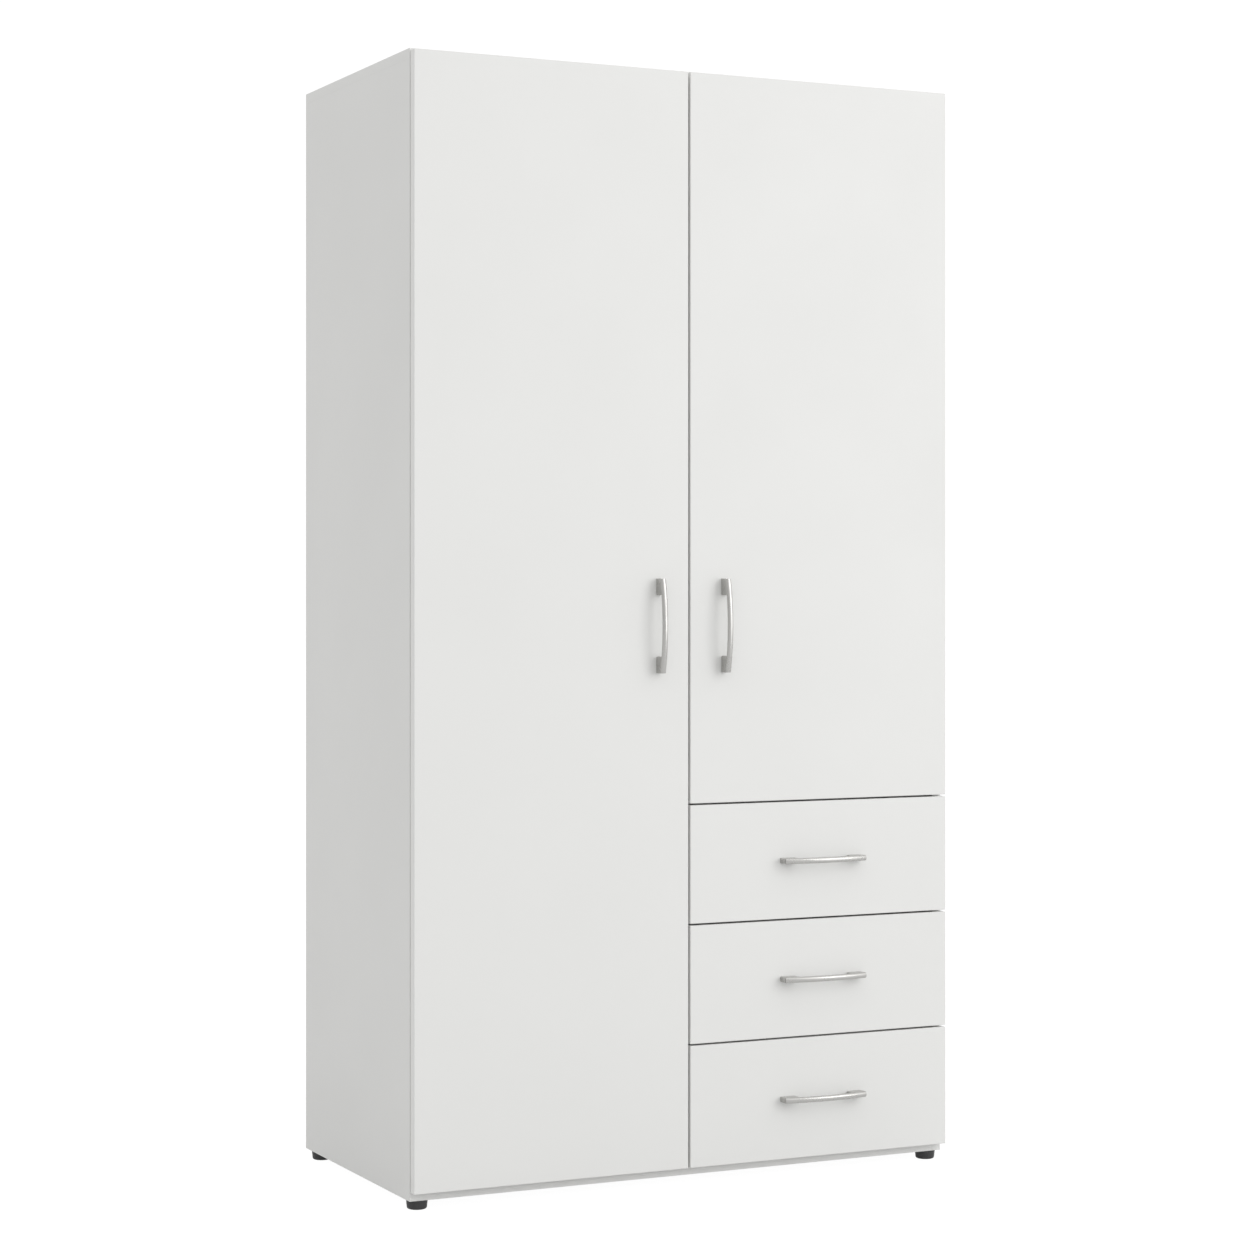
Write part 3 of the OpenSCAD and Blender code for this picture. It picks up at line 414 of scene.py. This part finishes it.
SATIN = ((0.57, 0.565, 0.55), (0.47, 0.465, 0.45))
satin_level = metal(
    "satin_nickel_level", tones=SATIN,
    gloss=(0.22, 0.34), scales=(60.0, 2600.0, 2600.0), bump=(0.08, 0.02 * MM))
satin_upright = metal(
    "satin_nickel_upright", tones=SATIN,
    gloss=(0.22, 0.34), scales=(2600.0, 2600.0, 60.0), bump=(0.08, 0.02 * MM))
nickel = metal(
    "nickel_plate", tones=((0.72, 0.70, 0.66), (0.64, 0.62, 0.58)),
    gloss=(0.16, 0.30), scales=(700.0, 700.0, 90.0), bump=(0.12, 0.02 * MM))
zinc = metal(
    "bright_zinc", tones=((0.66, 0.67, 0.69), (0.52, 0.53, 0.55)),
    gloss=(0.28, 0.48), scales=(500.0, 500.0, 500.0), bump=(0.25, 0.03 * MM))
cast_zinc = metal(
    "cast_zinc", tones=((0.50, 0.50, 0.51), (0.40, 0.40, 0.41)),
    gloss=(0.42, 0.60), scales=(900.0, 900.0, 900.0), bump=(0.40, 0.05 * MM))
chrome = metal(
    "chrome_tube", tones=((0.80, 0.80, 0.81), (0.76, 0.76, 0.77)),
    gloss=(0.06, 0.14), scales=(40.0, 900.0, 900.0), bump=(0.04, 0.01 * MM))
back_board = hardboard("lacquered_hardboard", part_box("back_panel_left")[1].y)


# ------------------------------------------------------------------ boards

# Points nearer to a plane than this lie on it.
TOUCH = 0.02 * MM
# Thickness of the edge banding.
BAND = 1.0 * MM


def on_outline(low, high, only=lambda axis, plane: True):
    """A test for edges that run along the outline of a box, on at least one of the planes wanted."""
    def test(a, b):
        shared = [
            (axis, plane) for axis in range(3) for plane in (low[axis], high[axis])
            if abs(a[axis] - plane) < TOUCH and abs(b[axis] - plane) < TOUCH]
        return len(shared) >= 2 and any(only(*place) for place in shared)
    return test


def pull_in(piece, axis, plane, step):
    """Moves the points that lie on a plane along its axis."""
    for point in piece.data.vertices:
        if abs(point.co[axis] - plane) < TOUCH:
            point.co[axis] += step


def board(node, material, width):
    """A board with softened outer edges. Its bores stay sharp."""
    piece = copy_node(node, node + "_board")
    pick_edges(piece, on_outline(*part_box(node)))
    bevel_picked(piece, width, 2)
    shade(piece)
    stand_for(piece, material, node)


def banded_board(node):
    """A carcass board or shelf: a core, and a strip of edge banding along its front edge."""
    low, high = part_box(node)
    core = copy_node(node, node + "_core")
    pull_in(core, 1, low.y, BAND)
    core_low = low + Vector((0, BAND, 0))
    pick_edges(core, on_outline(core_low, high, lambda axis, plane: (axis, plane) != (1, core_low.y)))
    bevel_picked(core, 0.15 * MM, 2)
    shade(core)
    stand_for(core, melamine, node)

    strip = add_block(node + "_front_banding", low, (high.x, low.y + BAND, high.z))
    pick_edges(strip, on_outline(low, high, lambda axis, plane: (axis, plane) == (1, low.y)))
    bevel_picked(strip, 0.4 * MM, 3)
    shade(strip)
    fit_out(strip, edge_banding, node)


def banded_front(node):
    """A door or drawer front: a core, and a frame of edge banding round its four edges."""
    low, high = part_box(node)
    core = copy_node(node, node + "_core")
    for axis in (0, 2):
        pull_in(core, axis, low[axis], BAND)
        pull_in(core, axis, high[axis], -BAND)
    inset = Vector((BAND, 0, BAND))
    pick_edges(core, on_outline(low + inset, high - inset))
    bevel_picked(core, 0.1 * MM, 2)
    shade(core)
    stand_for(core, melamine, node)

    strip = add_block(node + "_edge_banding", low, high)
    pick_faces(strip, lambda centre, normal: abs(normal.y) > 0.9)
    with editing(strip, "FACE"):
        bpy.ops.mesh.inset(thickness=BAND)
        bpy.ops.mesh.bridge_edge_loops()
    turn_faces_out(strip)
    pick_edges(strip, on_outline(low, high))
    bevel_picked(strip, 0.6 * MM, 4)
    shade(strip)
    fit_out(strip, edge_banding, node)


def make_boards():
    """Every board of the carcass, the shelves, the fronts and the drawer boxes."""
    for node in ("side_panel_left", "side_panel_right", "top_panel", "bottom_panel",
                 "divider_panel", "hat_shelf", "drawer_top_shelf",
                 "adjustable_shelf_1", "adjustable_shelf_2"):
        banded_board(node)
    for node in ("back_panel_left", "back_panel_right"):
        board(node, back_board, 0.2 * MM)
    for node in ("door_left", "door_right"):
        banded_front(node)
    for n in DRAWERS:
        banded_front(f"drawer_{n}_front")
        for part in ("side_left", "side_right", "back"):
            board(f"drawer_{n}_{part}", box_board, 0.4 * MM)
        board(f"drawer_{n}_bottom", back_board, 0.2 * MM)


# ------------------------------------------------------------------ handles

BOW_WIDTH = 9.5 * MM
BOW_THICKNESS = 5 * MM
# How far the bow's ends stand off the front board. Its middle stands off by the full height.
BOW_END_PROUD = 19.5 * MM
BOW_FRONT_ROUND = 3.9 * MM
BOW_BACK_ROUND = 1.0 * MM
BOW_END_ROUND = 0.8 * MM
HANDLE_FOOT_LENGTH = 27 * MM
HANDLE_FOOT_WIDTH = 8.7 * MM
# How far each foot reaches into the bow.
HANDLE_FOOT_IN_BOW = 1.6 * MM
HANDLE_FOOT_INNER_ROUND = 3.2 * MM
HANDLE_FOOT_EDGE_ROUND = 0.9 * MM


def handle_bow(length, proud):
    """The bow, and its outer radius: a flat bar with a domed front, spun along its arc.

    It lies along X and faces -Y.
    """
    rise = proud - BOW_END_PROUD
    radius = ((length / 2) ** 2 + rise ** 2) / (2 * rise)
    half_angle = math.asin(length / 2 / radius)
    pivot = Vector((0, radius - proud, 0))
    middle = Vector((0, BOW_THICKNESS / 2 - proud, 0))

    bpy.ops.object.select_all(action="DESELECT")
    bpy.ops.mesh.primitive_plane_add(size=1, location=middle, rotation=(0, math.pi / 2, 0))
    bow = bpy.context.object
    bow.scale = (BOW_WIDTH, BOW_THICKNESS, 1)
    settle(bow)
    for is_front, corner in ((True, BOW_FRONT_ROUND), (False, BOW_BACK_ROUND)):
        pick_nothing(bow)
        edge = middle.y + BOW_THICKNESS / 2 * (-1 if is_front else 1)
        for point in bow.data.vertices:
            point.select = abs(point.co.y - edge) < TOUCH
        with editing(bow, "VERT"):
            bpy.ops.mesh.bevel(
                offset=corner, segments=7 if is_front else 3, affect="VERTICES",
                clamp_overlap=False)
    bow.data.transform(
        Matrix.Translation(pivot) @ Matrix.Rotation(half_angle, 4, "Z") @ Matrix.Translation(-pivot))
    pick_faces(bow, lambda centre, normal: True)
    with editing(bow, "FACE"):
        bpy.ops.mesh.spin(steps=40, angle=2 * half_angle, center=pivot, axis=(0, 0, 1))
    return bow, radius


def handle_foot(side, length, proud, radius):
    """A foot under one end of the bow, with its inner corner at the front board rounded off."""
    outer = side * length / 2
    inner = outer - side * HANDLE_FOOT_LENGTH
    low = Vector((min(outer, inner), -proud, -HANDLE_FOOT_WIDTH / 2))
    high = Vector((max(outer, inner), 0, HANDLE_FOOT_WIDTH / 2))
    foot = add_block("handle_foot", low, high)
    for point in foot.data.vertices:
        if point.co.y < -TOUCH:
            under_bow = radius - proud - math.sqrt((radius - BOW_THICKNESS) ** 2 - point.co.x ** 2)
            point.co.y = under_bow - HANDLE_FOOT_IN_BOW
    pick_edges(foot, lambda a, b: all(abs(p.x - inner) < TOUCH and abs(p.y) < TOUCH for p in (a, b)))
    bevel_picked(foot, HANDLE_FOOT_INNER_ROUND, 6)
    pick_edges(foot, lambda a, b: abs(abs(a.z) - HANDLE_FOOT_WIDTH / 2) < TOUCH and abs(a.z - b.z) < TOUCH)
    bevel_picked(foot, HANDLE_FOOT_EDGE_ROUND, 3)
    return foot


def bevel_ends(bow, length):
    """Rounds the rims of the bow's two end faces."""
    pick_nothing(bow)
    mesh = bow.data
    for face in mesh.polygons:
        if len(face.vertices) > 8:
            for index in face.vertices:
                mesh.vertices[index].select = True
            face.select = True
    with editing(bow, "FACE"):
        bpy.ops.mesh.region_to_loop()
        bpy.ops.mesh.bevel(offset=BOW_END_ROUND, segments=3, affect="EDGES", clamp_overlap=True)


def blank_handle(length, proud):
    """A whole bow handle. It lies along X, with its feet's undersides on the plane y = 0."""
    bow, radius = handle_bow(length, proud)
    feet = [handle_foot(side, length, proud, radius) for side in (-1, 1)]
    turn_faces_out(bow)
    bevel_ends(bow, length)
    focus(bow)
    for foot in feet:
        foot.select_set(True)
    bpy.ops.object.join()
    return bow


def fit_handle(blank, node, material, turn):
    """A copy of the blank in place of one CAD node, turned about Y."""
    low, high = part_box(node)
    handle = copy_object(blank, node + "_bow")
    handle.rotation_euler = (0, turn, 0)
    handle.location = ((low.x + high.x) / 2, high.y, (low.z + high.z) / 2)
    settle(handle)
    shade(handle, 50)
    stand_for(handle, material, node)


def make_handles():
    """One handle is modelled, and copied upright onto the doors and level onto the drawers."""
    low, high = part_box("drawer_1_handle")
    blank = blank_handle(high.x - low.x, high.y - low.y)
    for side in ("left", "right"):
        fit_handle(blank, f"door_{side}_handle", satin_upright, math.pi / 2)
    for n in DRAWERS:
        fit_handle(blank, f"drawer_{n}_handle", satin_level, 0)
    bpy.data.objects.remove(blank)


# ------------------------------------------------------------------ feet

FOOT_TAPER = 1.5 * MM
FOOT_RIM = 5 * MM
FOOT_RECESS = 1.2 * MM
FOOT_ROUND = 3 * MM
FOOT_SPREAD = 50 * MM


def foot_places():
    """Centres of the five feet, from the loose parts of the CAD node."""
    mesh = frame["nodes"]["feet"].data
    corners = {(round(v.co.x, 5), round(v.co.y, 5)) for v in mesh.vertices if v.co.z < TOUCH}
    places = []
    for x, y in sorted(corners):
        near = [p for p in places if math.hypot(p[0][0] - x, p[0][1] - y) < FOOT_SPREAD]
        if near:
            near[0].append((x, y))
        else:
            places.append([(x, y)])
    return [
        Vector(((min(p[0] for p in ring) + max(p[0] for p in ring)) / 2,
                (min(p[1] for p in ring) + max(p[1] for p in ring)) / 2, 0))
        for ring in places]


def blank_foot(radius, height):
    """A moulded foot: tapered, rounded at the floor, with a shallow recess underneath."""
    bpy.ops.object.select_all(action="DESELECT")
    bpy.ops.mesh.primitive_cylinder_add(
        vertices=64, radius=radius, depth=height, location=(0, 0, height / 2))
    foot = bpy.context.object
    settle(foot)
    pick_faces(foot, lambda centre, normal: normal.z < -0.9)
    taper = 1 - FOOT_TAPER / radius
    with editing(foot, "FACE"):
        bpy.ops.transform.resize(value=(taper, taper, 1))
        bpy.ops.mesh.inset(thickness=FOOT_RIM)
        bpy.ops.mesh.extrude_region_move(TRANSFORM_OT_translate={"value": (0, 0, FOOT_RECESS)})
    inside_rim = radius - 2 * FOOT_TAPER
    pick_edges(foot, lambda a, b: max(a.z, b.z) < TOUCH and min(a.length, b.length) > inside_rim)
    bevel_picked(foot, FOOT_ROUND, 6)
    pick_edges(foot, lambda a, b: min(a.z, b.z) > height - TOUCH)
    bevel_picked(foot, 0.4 * MM, 2)
    return foot


def make_feet():
    """One foot is modelled, and copied to the five places."""
    centres = foot_places()
    blank = blank_foot(
        radius=min(centre.x for centre in centres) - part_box("feet")[0].x,
        height=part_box("bottom_panel")[0].z)
    for number, centre in enumerate(centres, 1):
        foot = copy_object(blank, f"foot_{number}")
        foot.location = centre
        settle(foot)
        shade(foot)
        stand_for(foot, black_plastic, "feet")
    bpy.data.objects.remove(blank)


# ------------------------------------------------------------------ fittings

def soften(node, material, width, segments=2):
    """A copy of a fitting with every sharp edge rounded a little."""
    piece = copy_node(node, node + "_finished")
    bevel = piece.modifiers.new("round", "BEVEL")
    bevel.width = width
    bevel.segments = segments
    bevel.limit_method = "ANGLE"
    bevel.angle_limit = math.radians(40)
    focus(piece)
    bpy.ops.object.modifier_apply(modifier=bevel.name)
    shade(piece)
    stand_for(piece, material, node)


def repaint(node, material):
    """Keeps a CAD node as it is and gives it a better material."""
    for slot in frame["nodes"][node].material_slots:
        slot.material = material


def make_fittings():
    """The metal and plastic fittings, each with its sharp edges rounded by its own width."""
    for node, material, width in (
            ("clothes_rail", chrome, 0.15), ("rail_brackets", nickel, 0.5),
            ("hinge_plates", nickel, 0.3), ("hinge_arms", nickel, 0.35),
            ("door_left_hinge_cups", nickel, 0.25), ("door_right_hinge_cups", nickel, 0.25),
            ("hinge_links_left", nickel, 0.25), ("hinge_links_right", nickel, 0.25),
            ("runners_left", powder_coat, 0.3), ("runners_right", powder_coat, 0.3),
            ("door_bumpers", bumper_plastic, 0.5), ("wall_brackets", zinc, 0.4),
            ("carcass_screws", zinc, 0.2), ("door_left_screws", zinc, 0.2),
            ("door_right_screws", zinc, 0.2), ("shelf_pins", zinc, 0.2)):
        soften(node, material, width * MM)
    for n in DRAWERS:
        soften(f"drawer_{n}_runners", powder_coat, 0.3 * MM)
        soften(f"drawer_{n}_fixings", zinc, 0.2 * MM)
    for node, material in (
            ("back_panel_nails", zinc), ("cam_fittings", cast_zinc), ("dowels", beech)):
        repaint(node, material)


# ------------------------------------------------------------------ studio

FLOOR_GREY = 0.54
FLOOR_GLOW = 1.15
GLOW_SEEN = 0.85
GLOW_MIRRORED = 0.45
SKY_LEVEL = 0.80
SKY_LEAN = (0.20, 0.0, 0.40)
BACKDROP_LEVEL = 1.05


def make_floor():
    """A plain floor: almost pure white to the camera, but it throws only a little light back up."""
    bpy.ops.object.select_all(action="DESELECT")
    bpy.ops.mesh.primitive_plane_add(size=80, location=(0, 0, 0))
    floor = bpy.context.object
    floor.name = "studio_floor"
    material, tree, shader = new_material("studio_floor")
    shader.inputs["Base Color"].default_value = (FLOOR_GREY, FLOOR_GREY, FLOOR_GREY, 1.0)
    shader.inputs["Roughness"].default_value = 0.9
    shader.inputs["Specular IOR Level"].default_value = 0.0
    glow = add_node(tree, "ShaderNodeEmission")
    glow.inputs["Strength"].default_value = FLOOR_GLOW
    path = add_node(tree, "ShaderNodeLightPath").outputs
    share = math_node(
        tree, "ADD", math_node(tree, "MULTIPLY", path["Is Camera Ray"], GLOW_SEEN),
        math_node(tree, "MULTIPLY", path["Is Glossy Ray"], GLOW_MIRRORED))
    mix = add_node(tree, "ShaderNodeMixShader")
    tree.links.new(share, mix.inputs["Fac"])
    tree.links.new(shader.outputs[0], mix.inputs[1])
    tree.links.new(glow.outputs[0], mix.inputs[2])
    tree.links.new(mix.outputs[0], tree.nodes["Material Output"].inputs["Surface"])
    floor.data.materials.append(material)


def make_world():
    """Soft light from all round, stronger from above and the right, on a white background."""
    world = bpy.data.worlds.new("studio")
    bpy.context.scene.world = world
    world.use_nodes = True
    tree = world.node_tree
    soft = tree.nodes["Background"]
    soft.inputs["Color"].default_value = (1.0, 1.0, 0.995, 1.0)
    direction = add_node(tree, "ShaderNodeTexCoord").outputs["Generated"]
    lean = vector_node(tree, "DOT_PRODUCT", direction, SKY_LEAN)["Value"]
    tree.links.new(math_node(tree, "ADD", lean, SKY_LEVEL), soft.inputs["Strength"])
    white = add_node(tree, "ShaderNodeBackground")
    white.inputs["Color"].default_value = (1.0, 1.0, 1.0, 1.0)
    white.inputs["Strength"].default_value = BACKDROP_LEVEL
    mix = add_node(tree, "ShaderNodeMixShader")
    tree.links.new(add_node(tree, "ShaderNodeLightPath").outputs["Is Camera Ray"], mix.inputs["Fac"])
    tree.links.new(soft.outputs[0], mix.inputs[1])
    tree.links.new(white.outputs[0], mix.inputs[2])
    tree.links.new(mix.outputs[0], tree.nodes["World Output"].inputs["Surface"])


def make_key_light():
    """A tall soft box in front of the wardrobe, to its right."""
    light = bpy.data.lights.new("key_light", "AREA")
    light.shape = "RECTANGLE"
    light.size = 3.2
    light.size_y = 5.6
    light.energy = 103
    lamp = bpy.data.objects.new("key_light", light)
    place = Vector((3.9, -5.3, 2.95))
    aim = Vector((0, 0, 1.9))
    lamp.location = place
    lamp.rotation_euler = (aim - place).to_track_quat("-Z", "Y").to_euler()
    bpy.context.scene.collection.objects.link(lamp)


def make_camera():
    """A level camera to the left of the fronts, shifted so that the uprights stay upright."""
    camera = bpy.data.cameras.new("front_left_camera")
    camera.lens = 83.69
    camera.sensor_width = 36.0
    camera.shift_y = -0.0335
    holder = bpy.data.objects.new("front_left_camera", camera)
    holder.location = (-2.1345, -4.4249, 0.9690)
    holder.rotation_euler = (math.radians(90), 0, math.radians(-25.732))
    bpy.context.scene.collection.objects.link(holder)
    bpy.context.scene.camera = holder


make_boards()
make_handles()
make_feet()
make_fittings()
make_floor()
make_world()
make_key_light()
make_camera()
bpy.context.scene.view_settings.view_transform = "Standard"
